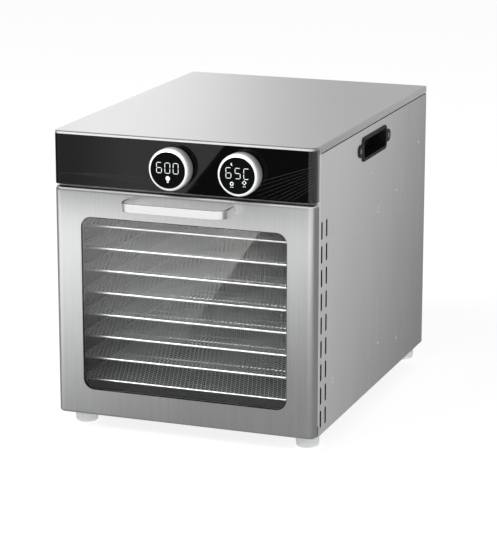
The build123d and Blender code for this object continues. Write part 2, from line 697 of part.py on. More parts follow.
def hinge_brackets():
    """Two brackets on the base pan's front edge, each an arm with an eye for a pin."""
    foot_ys = (FRAME_Y[1] - 1.7, FRAME_Y[1] + 0.3)
    zs = (PIVOT_Z - BRACKET_TIP_R + 0.5, PIVOT_Z + BRACKET_TIP_R)
    arm_zs = (PIVOT_Z - BRACKET_ARM_H / 2, PIVOT_Z + BRACKET_ARM_H / 2)
    arm = block(BRACKET_X, (PIVOT_Y, foot_ys[1]), arm_zs)
    arm += rod_x(BRACKET_TIP_R, *BRACKET_X, PIVOT_Y, PIVOT_Z)
    arm += block((BRACKET_X[0] - 5, BRACKET_X[1] + 5), foot_ys, zs)
    arm -= rod_x(PIN_R + RUNNING, BRACKET_X[0] - 1, BRACKET_X[1] + 1, PIVOT_Y, PIVOT_Z)
    return both_sides(arm)


def door_glass():
    """The toughened pane behind the door's skin."""
    return window_hole(-GLASS_LAP, Y_FRONT + DOOR_SKIN, Y_FRONT + DOOR_SKIN + GLASS_T)


def glass_gasket():
    """The rubber seal between the pane and the inner frame."""
    ys = (Y_FRONT + DOOR_SKIN + GLASS_T, Y_FRONT + DOOR_T - SHEET)
    return window_hole(-GLASS_LAP, *ys) - window_hole(-1.0, ys[0] - 1, ys[1] + 1)


def door_handle():
    """A flat strap bent into a U, with a threaded stud on the end of each leg."""
    depth = HANDLE_REACH
    outer = block((-HANDLE_HALF_W, HANDLE_HALF_W), (Y_FRONT - depth, Y_FRONT), HANDLE_Z)
    outer = fillet(outer.edges().filter_by(Axis.Z).sort_by(Axis.Y)[:2], HANDLE_BEND_R)
    half_in = HANDLE_HALF_W - HANDLE_T
    inner_ys = (Y_FRONT - depth + HANDLE_T, Y_FRONT + 1)
    inner = block((-half_in, half_in), inner_ys, (HANDLE_Z[0] - 1, HANDLE_Z[1] + 1))
    inner = fillet(inner.edges().filter_by(Axis.Z).sort_by(Axis.Y)[:2], HANDLE_BEND_R - HANDLE_T)
    strap = outer - inner
    for x in (-HANDLE_HALF_W + HANDLE_T / 2, HANDLE_HALF_W - HANDLE_T / 2):
        strap += rod_y(STUD_R, Y_FRONT - 1, Y_FRONT + 7, x, sum(HANDLE_Z) / 2)
    return strap


def handle_nuts():
    """Two hexagon nuts on the handle's studs, inside the door."""
    x = HANDLE_HALF_W - HANDLE_T / 2
    z = sum(HANDLE_Z) / 2
    ys = (Y_FRONT + DOOR_SKIN, Y_FRONT + DOOR_SKIN + 3)
    nut = prism_y(Pos(x, z) * RegularPolygon(4.2, 6), *ys) - rod_y(STUD_R, ys[0] - 1, ys[1] + 1, x, z)
    return both_sides(nut)


def door_strikes():
    """Two steel blocks inside the door's top corners, which the magnets hold."""
    back = Y_FRONT + DOOR_T - SHEET
    return both_sides(block((108, 130), (back - 3, back), (264, 276)))


def door_magnets():
    """Two magnets behind the cabinet's face, opposite the door's strikes."""
    front = FRAME_Y[0] + FRAME_T
    return both_sides(block((106, 132), (front, front + 5), (268, 280)))


# ---------------------------------------------------------------- nodes
def main():
    """Build every node and write it to its own STEP file."""
    os.makedirs("parts", exist_ok=True)
    save("top_cover", top_cover())
    right_panel = side_panel()
    save("right_side_panel", right_panel)
    save("left_side_panel", mirror(right_panel, about=Plane.YZ))
    save("side_rivets", *side_rivets())
    save("base_pan", base_pan())
    save("feet", *feet())
    save("foot_screws", *foot_screws())
    save("front_frame", front_frame())
    save("rear_panel", rear_panel())
    save("rear_screws", *rear_screws())
    right_wall = chamber_wall()
    save("chamber_right_wall", right_wall)
    save("chamber_left_wall", mirror(right_wall, about=Plane.YZ))
    save("chamber_ceiling", chamber_ceiling())
    save("chamber_floor", chamber_floor())
    save("rear_baffle", rear_baffle())
    rails = tray_rails()
    save("right_tray_rails", *rails)
    save("left_tray_rails", *[mirror(rail, about=Plane.YZ) for rail in rails])
    for index in range(TRAY_COUNT):
        save("tray_" + str(index + 1), tray(index))
    save("fan_shaft", fan_shaft())
    save("fan_nut", fan_nut())
    save("fan_blades", fan_blades())
    save("fan_motor", fan_motor())
    save("motor_bracket", motor_bracket())
    save("heater_element", heater_element())
    save("heater_clips", *heater_clips())
    save("thermal_cutout", thermal_cutout())
    save("temperature_probe", temperature_probe())
    save("lamp_lens", lamp_lens())
    save("lamp_housing", lamp_housing())
    save("control_panel", control_panel())
    for side, x in KNOB_X.items():
        save(side + "_knob_ring", knob_ring(x))
        save(side + "_knob_core", knob_core(x))
        save(side + "_knob_display", knob_display(x))
    save("knob_encoders", *[knob_encoder(x) for x in KNOB_X.values()])
    save("power_board", power_board())
    save("power_inlet", power_inlet())
    save("inlet_pins", *inlet_pins())
    right_grip = side_grip()
    save("right_side_grip", right_grip)
    save("left_side_grip", mirror(right_grip, about=Plane.YZ))
    save("grip_screws", *grip_screws())
    save("door_skin", door_skin())
    save("door_inner_frame", door_inner_frame())
    save("hinge_pins", *hinge_pins())
    save("hinge_brackets", *hinge_brackets())
    save("door_glass", door_glass())
    save("glass_gasket", glass_gasket())
    save("door_handle", door_handle())
    save("handle_nuts", *handle_nuts())
    save("door_strikes", *door_strikes())
    save("door_magnets", *door_magnets())


main()
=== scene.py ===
"""Looks of a bench-top food dehydrator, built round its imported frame.

Metres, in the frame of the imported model: X to the right seen from the front, Y from the door
to the rear, Z up from the surface that the feet stand on.
"""

import json
import logging
from dataclasses import dataclass, replace
from enum import Enum

import bmesh
import bpy
import numpy as np
from bpy.types import Material, Node, NodeSocket, Object
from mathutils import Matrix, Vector

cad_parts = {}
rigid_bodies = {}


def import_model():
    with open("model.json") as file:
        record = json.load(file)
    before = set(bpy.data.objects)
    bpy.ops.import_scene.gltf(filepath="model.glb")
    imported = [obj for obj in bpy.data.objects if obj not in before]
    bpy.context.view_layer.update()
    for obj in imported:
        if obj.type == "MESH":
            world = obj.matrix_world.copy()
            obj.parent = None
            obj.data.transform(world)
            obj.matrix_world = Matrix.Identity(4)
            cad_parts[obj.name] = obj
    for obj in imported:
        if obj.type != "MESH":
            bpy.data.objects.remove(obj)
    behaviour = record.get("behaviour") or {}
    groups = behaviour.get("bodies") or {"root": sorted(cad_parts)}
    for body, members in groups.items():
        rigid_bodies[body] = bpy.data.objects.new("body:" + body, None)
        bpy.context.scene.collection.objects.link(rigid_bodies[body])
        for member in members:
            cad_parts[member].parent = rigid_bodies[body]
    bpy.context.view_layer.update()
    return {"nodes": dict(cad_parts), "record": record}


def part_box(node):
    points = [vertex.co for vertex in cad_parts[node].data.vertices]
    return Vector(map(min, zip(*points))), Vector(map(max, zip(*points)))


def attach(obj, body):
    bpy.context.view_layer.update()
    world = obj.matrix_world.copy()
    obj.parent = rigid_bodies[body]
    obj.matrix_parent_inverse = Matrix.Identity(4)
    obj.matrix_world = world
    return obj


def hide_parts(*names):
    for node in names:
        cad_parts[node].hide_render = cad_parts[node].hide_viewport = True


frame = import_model()
LOG = logging.getLogger("dehydrator")

MM = 0.001
Y_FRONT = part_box("door_skin")[0].y
HALF_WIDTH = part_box("right_side_panel")[1].x
# the side panels keep their steel colour only this deep; deeper in they get painted shade
PAINTED_SHADE_SKIN = 0.05 * MM
WELD_DISTANCE = 1e-7
SHARP_ANGLE = 38.0
UP = (0.0, 0.0, 1.0)
CABINET_MIDDLE = (0, 0, 0.15)


# ---- named options
class Grain(Enum):
    """The way a sheet was brushed: how finely noise varies along X, Y and Z, per metre."""

    UPRIGHT = (900.0, 900.0, 7.0)
    DEPTH = (900.0, 7.0, 900.0)
    ACROSS = (7.0, 900.0, 900.0)


# ---- node trees
class Tree:
    """A material's node tree round one Principled shader, with short calls to add and join nodes."""

    def __init__(self, name: str) -> None:
        """Start an empty material.

        Args:
            name: the material's name.
        """
        self.material = bpy.data.materials.new(name)
        self.material.use_nodes = True
        self.nodes = self.material.node_tree.nodes
        self.shader = self.nodes["Principled BSDF"]
        self.output = self.nodes["Material Output"]
        self.place = self.nodes.new("ShaderNodeTexCoord").outputs["Object"]

    def add(self, kind: str, **settings: object) -> Node:
        """Add a node.

        Args:
            kind: the node's type, without its ShaderNode prefix.
            settings: the node's own properties.

        Returns:
            The new node.
        """
        node = self.nodes.new("ShaderNode" + kind)
        for key, value in settings.items():
            setattr(node, key, value)
        return node

    def join(self, source: object, target: NodeSocket) -> None:
        """Link a socket to an input, or set the input's own value.

        Args:
            source: an output socket, a number or a colour.
            target: the input.
        """
        if isinstance(source, NodeSocket):
            self.material.node_tree.links.new(source, target)
        else:
            target.default_value = source

    def feed(self, **values: object) -> None:
        """Set or link the shader's own inputs, named with underscores for spaces."""
        for key, value in values.items():
            self.join(value, self.shader.inputs[key.replace("_", " ")])

    def moved(self, scale: tuple, shift: tuple = (0.0, 0.0, 0.0)) -> NodeSocket:
        """Object coordinates, shifted and then scaled.

        Args:
            scale: repeats per metre along X, Y and Z.
            shift: a point in metres that becomes the pattern's origin.

        Returns:
            The vector socket.
        """
        node = self.add("Mapping", vector_type="POINT")
        node.inputs["Scale"].default_value = scale
        node.inputs["Location"].default_value = [-s * k for s, k in zip(shift, scale)]
        self.join(self.place, node.inputs["Vector"])
        return node.outputs["Vector"]

    def noise(self, vector: object, detail: float, rough: float) -> NodeSocket:
        """Fractal noise from 0 to 1 at a vector whose unit is one blotch.

        Args:
            vector: the vector socket.
            detail: octaves.
            rough: how strong the finer octaves are.

        Returns:
            The noise's factor.
        """
        node = self.add("TexNoise")
        node.inputs["Scale"].default_value = 1.0
        node.inputs["Detail"].default_value = detail
        node.inputs["Roughness"].default_value = rough
        self.join(vector, node.inputs["Vector"])
        return node.outputs["Fac"]

    def speckle(self, scale: float, detail: float, rough: float) -> NodeSocket:
        """Noise of the same scale, in blotches per metre, along all three axes."""
        return self.noise(self.moved((scale,) * 3), detail, rough)

    def ranged(
        self, value: object, low: float, high: float, start: float = 0.3, end: float = 0.7
    ) -> NodeSocket:
        """Map start..end of a value to low..high, held at both ends.

        Args:
            value: the socket to map.
            low: result at start.
            high: result at end.
            start: where the range begins.
            end: where it ends.

        Returns:
            The result's socket.
        """
        node = self.add("MapRange", clamp=True)
        self.join(value, node.inputs["Value"])
        for key, number in (("From Min", start), ("From Max", end), ("To Min", low), ("To Max", high)):
            node.inputs[key].default_value = number
        return node.outputs["Result"]

    def blend(self, factor: object, first: tuple, second: tuple) -> NodeSocket:
        """Mix two colours.

        Args:
            factor: 0 for the first, 1 for the second.
            first: a colour, or a colour socket.
            second: a colour, or a colour socket.

        Returns:
            The mixed colour.
        """
        node = self.add("Mix", data_type="RGBA")
        self.join(factor, node.inputs["Factor"])
        self.join(first, node.inputs[6])
        self.join(second, node.inputs[7])
        return node.outputs[2]

    def tones(
        self, value: object, colour: tuple, low: float, high: float, start: float = 0.3, end: float = 0.7
    ) -> NodeSocket:
        """A colour that goes from its low tone to its high one as a value goes from start to end."""
        share = self.ranged(value, 0.0, 1.0, start, end)
        return self.blend(share, scaled(colour, low), scaled(colour, high))

    def math(self, operation: str, first: object, second: object = 0.0) -> NodeSocket:
        """One arithmetic step.

        Args:
            operation: the Math node's operation.
            first: a socket or number.
            second: a socket or number.

        Returns:
            The result's socket.
        """
        node = self.add("Math", operation=operation)
        self.join(first, node.inputs[0])
        self.join(second, node.inputs[1])
        return node.outputs[0]

    def bump(self, height: object, distance: float) -> None:
        """Raise the surface by a height map from 0 to 1, to a distance in metres."""
        node = self.add("Bump")
        node.inputs["Distance"].default_value = distance
        self.join(height, node.inputs["Height"])
        self.feed(Normal=node.outputs["Normal"])


def grey(level: float) -> tuple:
    """A neutral colour of that linear level."""
    return (level, level, level, 1.0)


def scaled(colour: tuple, factor: float) -> tuple:
    """A colour made lighter or darker."""
    return tuple(min(1.0, c * factor) for c in colour[:3]) + (1.0,)


# ---- finishes
@dataclass(frozen=True)
class BrushedSteel:
    """Stainless sheet brushed one way: long fine scratches, and a faint cloudiness."""

    name: str
    colour: tuple = (0.66, 0.66, 0.665)
    grain: Grain = Grain.UPRIGHT
    roughness: float = 0.33
    contrast: float = 0.07
    relief: float = 0.00001
    painted_shade_x: float = 0.0

    def build(self) -> Material:
        """Make the material: scratches drive colour, roughness and relief, and clouds shade the colour.

        Where the painted shade distance is set, all that lies nearer the middle than that distance is
        painted near-black shade, seen on the inner faces of cut slots.
        """
        tree = Tree(self.name)
        scratches = tree.noise(tree.moved(self.grain.value), 5.0, 0.65)
        hairlines = tree.noise(tree.moved(tuple(v * 3.1 for v in self.grain.value)), 2.0, 0.5)
        clouds = tree.speckle(9.0, 2.0, 0.5)
        both = tree.math("ADD", tree.math("MULTIPLY", scratches, 0.6), tree.math("MULTIPLY", hairlines, 0.4))
        streaked = tree.tones(both, self.colour, 1 - self.contrast, 1 + self.contrast, 0.38, 0.62)
        shade = tree.blend(tree.ranged(clouds, 0.0, 0.16), streaked, scaled(self.colour, 0.88))
        # painted shade: near-black wherever the sheet lies deeper than its outer skin, as in the vent slots
        if self.painted_shade_x:
            split = tree.add("SeparateXYZ")
            tree.join(tree.place, split.inputs[0])
            outside = tree.math("GREATER_THAN", tree.math("ABSOLUTE", split.outputs["X"]), self.painted_shade_x)
            shade = tree.blend(outside, grey(0.012), shade)
        rough = tree.ranged(both, self.roughness - 0.05, self.roughness + 0.06, 0.35, 0.65)
        tree.feed(Metallic=1.0, Base_Color=shade, Roughness=rough)
        tree.bump(both, self.relief)
        return tree.material


@dataclass(frozen=True)
class WorkedMetal:
    """Rolled, plated, drawn or cast metal: even, with a fine mottle and small handling marks."""

    name: str
    colour: tuple = (0.6, 0.6, 0.61)
    roughness: float = 0.35
    mottle: float = 0.12
    scale: float = 380.0
    relief: float = 0.00002
    metallic: float = 1.0

    def build(self) -> Material:
        """Make the material: a fine mottle drives colour, roughness and relief."""
        tree = Tree(self.name)
        fine = tree.speckle(self.scale, 4.0, 0.6)
        broad = tree.speckle(self.scale / 9, 2.0, 0.5)
        mixed = tree.math("ADD", tree.math("MULTIPLY", fine, 0.55), tree.math("MULTIPLY", broad, 0.45))
        colour = tree.tones(mixed, self.colour, 1 - self.mottle, 1 + self.mottle, 0.35, 0.65)
        rough = tree.ranged(mixed, self.roughness - 0.05, self.roughness + 0.07, 0.35, 0.65)
        tree.feed(Metallic=self.metallic, Base_Color=colour, Roughness=rough)
        tree.bump(fine, self.relief)
        return tree.material


@dataclass(frozen=True)
class TurnedMetal:
    """Metal turned about an axis along Y: fine rings, and painted shade that darkens its side towards the
    panel.
    """

    name: str
    centre: tuple
    colour: tuple = (0.93, 0.93, 0.94)
    roughness: float = 0.34
    metallic: float = 0.4
    painted_shade_span: tuple = (-0.004, 0.0075)

    def build(self) -> Material:
        """Make the material: noise over the distance from the axis and the place along it, and painted shade
        along Y.
        """
        tree = Tree(self.name)
        flat = tree.moved((1.0, 0.0, 1.0), self.centre)
        radius = tree.add("VectorMath", operation="LENGTH")
        tree.join(flat, radius.inputs[0])
        split = tree.add("SeparateXYZ")
        tree.join(tree.place, split.inputs[0])
        combine = tree.add("CombineXYZ")
        tree.join(tree.math("MULTIPLY", radius.outputs["Value"], 2600.0), combine.inputs["X"])
        tree.join(tree.math("MULTIPLY", split.outputs["Y"], 1500.0), combine.inputs["Y"])
        rings = tree.noise(combine.outputs[0], 3.0, 0.6)
        colour = tree.tones(rings, self.colour, 0.86, 1.08)
        # painted shade: the ring's side darkens to 0.3 of its colour towards the panel
        start, end = (self.centre[1] + y for y in self.painted_shade_span)
        depth = tree.ranged(split.outputs["Y"], 0.0, 1.0, start, end)
        shade = tree.blend(depth, colour, scaled(self.colour, 0.3))
        rough = tree.ranged(rings, self.roughness - 0.04, self.roughness + 0.06)
        tree.feed(Metallic=self.metallic, Base_Color=shade, Roughness=rough)
        tree.bump(rings, 0.000012)
        return tree.material


@dataclass(frozen=True)
class MouldedPlastic:
    """Moulded plastic or rubber with a fine grain."""

    name: str
    colour: tuple = (0.012, 0.012, 0.013)
    roughness: float = 0.42
    grain: float = 0.00005
    scale: float = 1700.0
    specular: float = 0.5

    def build(self) -> Material:
        """Make the material: a pebbled relief, and faint wear in colour and roughness."""
        tree = Tree(self.name)
        pebbles = tree.speckle(self.scale, 2.0, 0.5)
        wear = tree.speckle(55.0, 4.0, 0.6)
        colour = tree.tones(wear, self.colour, 0.85, 1.3)
        rough = tree.ranged(wear, self.roughness - 0.05, self.roughness + 0.08)
        tree.feed(Specular_IOR_Level=self.specular, Base_Color=colour, Roughness=rough)
        tree.bump(pebbles, self.grain)
        return tree.material


@dataclass(frozen=True)
class BlackGloss:
    """A black high-gloss panel or display window, with the slight waviness of moulding."""

    name: str
    colour: tuple = (0.0008, 0.0008, 0.001)
    roughness: float = 0.035
    specular: float = 0.12

    def build(self) -> Material:
        """Make the material: near-black body, a clean reflecting surface and faint dust in its roughness."""
        tree = Tree(self.name)
        dust = tree.speckle(260.0, 5.0, 0.7)
        wave = tree.speckle(24.0, 1.0, 0.5)
        colour = tree.tones(dust, self.colour, 1.0, 2.0)
        rough = tree.ranged(dust, self.roughness, self.roughness + 0.03)
        tree.feed(Specular_IOR_Level=self.specular, Base_Color=colour, Roughness=rough)
        tree.bump(wave, 0.00002)
        return tree.material


@dataclass(frozen=True)
class ClearPane:
    """Flat clear glass that lets lamps through to what it shuts in."""

    name: str
    colour: tuple = (0.965, 0.98, 0.975, 1.0)
    ior: float = 1.36

    def build(self) -> Material:
        """Make the material: clear glass with smears in its gloss, and no shadow."""
        tree = Tree(self.name)
        smears = tree.noise(tree.moved((14.0, 14.0, 5.0)), 4.0, 0.6)
        rough = tree.ranged(smears, 0.0, 0.012, 0.45, 0.8)
        tree.feed(Base_Color=self.colour, Transmission_Weight=1.0, IOR=self.ior, Roughness=rough)
        clear = tree.add("BsdfTransparent")
        clear.inputs["Color"].default_value = self.colour
        mix = tree.add("MixShader")
        tree.join(tree.add("LightPath").outputs["Is Shadow Ray"], mix.inputs[0])
        tree.join(tree.shader.outputs[0], mix.inputs[1])
        tree.join(clear.outputs[0], mix.inputs[2])
        tree.join(mix.outputs[0], tree.output.inputs["Surface"])
        return tree.material


@dataclass(frozen=True)
class Silicone:
    """Milky translucent silicone."""

    name: str
    colour: tuple = (0.86, 0.87, 0.875)

    def build(self) -> Material:
        """Make the material: light scattered below a soft sheen, with faint clouds."""
        tree = Tree(self.name)
        tree.feed(Subsurface_Weight=0.6, Subsurface_Scale=0.006, Subsurface_Radius=(1.0, 1.0, 1.0))
        tree.feed(Transmission_Weight=0.15, IOR=1.41, Roughness=0.3)
        clouds = tree.speckle(160.0, 3.0, 0.6)
        tree.feed(Base_Color=tree.tones(clouds, self.colour, 0.93, 1.05))
        tree.bump(clouds, 0.00004)
        return tree.material


@dataclass(frozen=True)
class LampLens:
    """A frosted lens, lit from behind."""

    name: str
    colour: tuple = (1.0, 0.95, 0.86)
    glow: float = 2.2

    def build(self) -> Material:
        """Make the material: frosting in the roughness and glow, brighter in its cells."""
        tree = Tree(self.name)
        cells = tree.speckle(330.0, 2.0, 0.5)
        colour = tree.blend(cells, scaled(self.colour, 0.8), scaled(self.colour, 0.95))
        strength = tree.ranged(cells, self.glow * 0.8, self.glow * 1.2)
        tree.feed(Base_Color=colour, Roughness=tree.ranged(cells, 0.35, 0.55))
        tree.feed(Emission_Color=self.colour + (1.0,), Emission_Strength=strength)
        return tree.material


@dataclass(frozen=True)
class LitSign:
    """Segments that emit light or, with hardly any glow, printed lines."""

    name: str
    colour: tuple = (0.93, 0.97, 1.0)
    glow: float = 0.95

    def build(self) -> Material:
        """Make the material: a steady glow with the slight unevenness of its diodes; on printed lines it is
        a faint painted glow.
        """
        tree = Tree(self.name)
        spots = tree.speckle(300.0, 1.0, 0.5)
        strength = tree.ranged(spots, self.glow * 0.85, self.glow * 1.1)
        tree.feed(Base_Color=scaled(self.colour, 0.5), Roughness=0.4)
        tree.feed(Emission_Color=self.colour + (1.0,), Emission_Strength=strength)
        return tree.material


@dataclass(frozen=True)
class PrintedBoard:
    """A circuit board with its parts: green mask below, dark moulded parts above."""

    name: str
    colour: tuple = (0.02, 0.13, 0.045)

    def build(self) -> Material:
        """Make the material: copper tracks seen through the mask, from bands of noise."""
        tree = Tree(self.name)
        tracks = tree.speckle(190.0, 0.0, 0.0)
        bands = tree.math("PINGPONG", tree.math("MULTIPLY", tracks, 9.0), 1.0)
        share = tree.ranged(bands, 0.0, 1.0, 0.55, 0.62)
        colour = tree.blend(share, self.colour + (1.0,), (0.05, 0.24, 0.08, 1.0))
        tree.feed(Base_Color=colour, Roughness=tree.ranged(bands, 0.38, 0.26))
        tree.bump(bands, 0.00003)
        return tree.material


def finish_table() -> dict:
    """The finish of each of the record's material slots, and of the trays' mesh.

    Returns:
        {name: finish}.
    """
    finishes = (
        BrushedSteel("cover_steel", (0.71, 0.705, 0.705), Grain.DEPTH, 0.34, 0.03),
        BrushedSteel("door_steel", (0.66, 0.665, 0.665), Grain.UPRIGHT, 0.33, 0.06),
        BrushedSteel("side_steel", (0.62, 0.62, 0.625), Grain.UPRIGHT, 0.36, 0.06),
        BrushedSteel("frame_steel", (0.7, 0.7, 0.71), Grain.UPRIGHT, 0.32, 0.05),
        WorkedMetal("liner_steel", (0.14, 0.14, 0.14), 0.3, 0.1, 160.0),
        # a near-black chamber floor, which makes the chamber's bottom dark
        MouldedPlastic("floor_coating", (0.016, 0.016, 0.016), 0.4, 0.00004, 900.0),
        WorkedMetal("galvanised_steel", (0.56, 0.57, 0.58), 0.42, 0.2, 210.0),
        WorkedMetal("tray_wire", (0.78, 0.78, 0.78), 0.34, 0.08, 700.0),
        WorkedMetal("tray_mesh", (0.76, 0.76, 0.76), 0.4, 0.08, 700.0, metallic=0.76),
        BrushedSteel("handle_steel", (0.76, 0.76, 0.765), Grain.ACROSS, 0.3, 0.03),
        WorkedMetal("screw_steel", (0.72, 0.72, 0.74), 0.28, 0.08, 900.0),
        WorkedMetal("fan_aluminium", (0.78, 0.78, 0.79), 0.38, 0.08, 300.0),
        WorkedMetal("knob_aluminium", (0.84, 0.84, 0.85), 0.26, 0.06, 500.0),
        WorkedMetal("heater_sheath", (0.2, 0.17, 0.15), 0.5, 0.3, 240.0),
        WorkedMetal("motor_can", (0.36, 0.36, 0.37), 0.4, 0.15, 260.0),
        BlackGloss("black_glass"),
        BlackGloss("display_window", (0.0012, 0.0012, 0.0014), 0.02, 0.2),
        MouldedPlastic("black_plastic", specular=0.28),
        PrintedBoard("circuit_board"),
        ClearPane("door_pane"),
        LampLens("lamp_cover"),
        MouldedPlastic("seal_rubber", (0.012, 0.012, 0.012), 0.55, 0.00003, 1200.0, 0.3),
        Silicone("foot_silicone"),
        WorkedMetal("magnet", (0.12, 0.12, 0.12), 0.6, 0.15, 500.0),
    )
    return {finish.name: finish for finish in finishes}


# ---- surfaces
def grid_faces(rows: int, columns: int, wrap_rows: bool = False, wrap_columns: bool = False) -> np.ndarray:
    """Four corners of every cell of a grid of points numbered row by row.

    Args:
        rows: number of rows.
        columns: number of columns.
        wrap_rows: whether the last row joins the first.
        wrap_columns: whether the last column joins the first.

    Returns:
        An (n, 4) array of point numbers.
    """
    index = np.arange(rows * columns).reshape(rows, columns)
    if wrap_rows:
        index = np.vstack([index, index[:1]])
    if wrap_columns:
        index = np.hstack([index, index[:, :1]])
    corners = (index[:-1, :-1], index[1:, :-1], index[1:, 1:], index[:-1, 1:])
    return np.stack([c.ravel() for c in corners], axis=1)


def make_piece(name: str, points: np.ndarray, faces: list, smooth: bool = True) -> Object:
    """Make a mesh object, weld its doubles and turn its faces outwards.

    Args:
        name: the piece's name.
        points: an (n, 3) array, in metres.
        faces: lists of point numbers.
        smooth: whether it shades smoothly, apart from its sharp edges.

    Returns:
        The object, at the origin.
    """
    mesh = bpy.data.meshes.new(name)
    mesh.from_pydata(np.asarray(points, float).tolist(), [], [list(f) for f in faces])
    work = bmesh.new()
    work.from_mesh(mesh)
    bmesh.ops.remove_doubles(work, verts=work.verts, dist=WELD_DISTANCE)
    bmesh.ops.recalc_face_normals(work, faces=work.faces)
    work.to_mesh(mesh)
    work.free()
    mesh.polygons.foreach_set("use_smooth", np.full(len(mesh.polygons), smooth))
    if smooth:
        mesh.set_sharp_from_angle(angle=np.radians(SHARP_ANGLE))
    piece = bpy.data.objects.new(name, mesh)
    bpy.context.scene.collection.objects.link(piece)
    return piece


def arc(radius: float, start: float, end: float, steps: int) -> np.ndarray:
    """Points (radius cos a, radius sin a) for a from start to end, in degrees."""
    angle = np.radians(np.linspace(start, end, steps))
    return radius * np.stack([np.cos(angle), np.sin(angle)], axis=1)


def rounded_outline(width: float, height: float, radius: float, steps: int = 8) -> np.ndarray:
    """A closed rectangle about the origin with quarter circles at its corners.

    Args:
        width: full size along the first axis.
        height: full size along the second axis.
        radius: corner radius.
        steps: points on each corner.

    Returns:
        An (n, 2) array, anticlockwise.
    """
    half = np.array([width / 2 - radius, height / 2 - radius])
    signs = ((1, 1), (-1, 1), (-1, -1), (1, -1))
    turns = enumerate(signs)
    return np.vstack([arc(radius, 90 * k, 90 * k + 90, steps) + half * np.array(sign) for k, sign in turns])


def swept(path: np.ndarray, side: np.ndarray, lift: np.ndarray, section: np.ndarray) -> np.ndarray:
    """A section carried along a path: point = path + side * section_u + lift * section_v."""
    rings = path[:, None] + side[:, None] * section[None, :, :1] + lift[:, None] * section[None, :, 1:]
    return rings.reshape(-1, 3)


def tube(
    path: np.ndarray, side: np.ndarray, lift: np.ndarray, section: np.ndarray, closed: bool
) -> tuple[np.ndarray, list]:
    """Points and faces of a swept section, with flat ends unless its path is closed.

    Args:
        path: (n, 3) centres.
        side: (n, 3) unit vectors for the section's first axis.
        lift: (n, 3) unit vectors for its second axis.
        section: (m, 2) outline.
        closed: whether the path's end joins its start.

    Returns:
        The points and the faces.
    """
    count = len(section)
    faces = grid_faces(len(path), count, wrap_rows=closed, wrap_columns=True).tolist()
    if not closed:
        last = (len(path) - 1) * count
        faces += [list(range(count)), list(range(last, last + count))]
    return swept(path, side, lift, section), faces


def everywhere(direction: tuple, path: np.ndarray) -> np.ndarray:
    """The same direction for each point of a path."""
    return np.tile(direction, (len(path), 1))


def rectangle(low: tuple, high: tuple) -> np.ndarray:
    """Four corners of the flat rectangle between two opposite corners with one coordinate in common."""
    corners = np.array([low, low, high, high], float)
    first = np.flatnonzero(corners[0] != corners[2])[0]
    corners[1, first], corners[3, first] = high[first], low[first]
    return corners


def loop_tangents(path: np.ndarray) -> np.ndarray:
    """Unit vectors along a closed path, from each point's two neighbours."""
    along = np.roll(path, -1, axis=0) - np.roll(path, 1, axis=0)
    return along / np.linalg.norm(along, axis=1, keepdims=True)


class Batch:
    """Several simple closed shapes gathered into one mesh."""

    def __init__(self) -> None:
        """Start with no points and no faces."""
        self.points: list = []
        self.faces: list = []
        self.count = 0

    def put(self, points: np.ndarray, faces: list) -> None:
        """Add a shape.

        Args:
            points: (n, 3) array.
            faces: lists of point numbers, counted from 0.
        """
        self.points.append(points)
        self.faces += [[int(i) + self.count for i in face] for face in faces]
        self.count += len(points)

    def slab(self, outline: np.ndarray, y_front: float, y_back: float) -> None:
        """Add a flat plate: an outline in X and Z drawn from y_front to y_back.

        Args:
            outline: (n, 2) array of X and Z.
            y_front: nearer Y.
            y_back: further Y.
        """
        n = len(outline)
        both = [np.insert(outline, 1, y, axis=1) for y in (y_front, y_back)]
        sides = [(i, (i + 1) % n, n + (i + 1) % n, n + i) for i in range(n)]
        self.put(np.vstack(both), [list(range(n)), list(range(2 * n - 1, n - 1, -1)), *sides])

    def ring(self, outer: np.ndarray, inner: np.ndarray, y_front: float, y_back: float) -> None:
        """Add a flat plate with a hole: two outlines of equal length in X and Z.

        Args:
            outer: (n, 2) array.
            inner: (n, 2) array.
            y_front: nearer Y.
            y_back: further Y.
        """
        loops = [(outer, y_front), (inner, y_front), (inner, y_back), (outer, y_back)]
        points = np.vstack([np.insert(line, 1, y, axis=1) for line, y in loops])
        self.put(points, grid_faces(4, len(outer), wrap_rows=True, wrap_columns=True))

    def piece(self, name: str, smooth: bool = False) -> Object:
        """Make the gathered shapes one piece of that name."""
        return make_piece(name, np.vstack(self.points), self.faces, smooth)


# ---- finishes on pieces and nodes
class Finishes:
    """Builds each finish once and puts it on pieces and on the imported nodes."""

    def __init__(self) -> None:
        """Read the slots of the record's nodes."""
        self.table = finish_table()
        self.ready: dict = {}
        self.slots = {part["node"]: part["material_slot"] for part in frame["record"]["subparts"]}

    def of(self, slot: str) -> Material:
        """The material of a slot, made when first asked for."""
        if slot not in self.ready:
            self.ready[slot] = self.table[slot].build()
        return self.ready[slot]

    def put(self, piece: Object, slot: str, material: Material | None = None) -> None:
        """Give a piece its finish: the slot's own, or another material.

        Args:
            piece: the object.
            slot: the record's slot.
            material: another material than the slot's own.
        """
        piece.data.materials.clear()
        piece.data.materials.append(material or self.of(slot))

    def dress_nodes(self) -> None:
        """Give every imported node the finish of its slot."""
        for node, piece in frame["nodes"].items():
            for place in piece.material_slots:
                place.material = self.of(self.slots[node])
        LOG.info("dressed %d nodes", len(frame["nodes"]))

    def paint_slot_shade(self) -> None:
        """Give the side panels painted near-black shade inside their vent slots."""
        slot_shaded_steel = replace(self.table["side_steel"], name="steel_with_painted_slot_shade", painted_shade_x=HALF_WIDTH - PAINTED_SHADE_SKIN)
        skin = slot_shaded_steel.build()
        for node in ("left_side_panel", "right_side_panel"):
            self.dress_node(node, skin)

    def dress_node(self, node: str, material: Material) -> None:
        """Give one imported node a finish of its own."""
        for place in frame["nodes"][node].material_slots:
            place.material = material


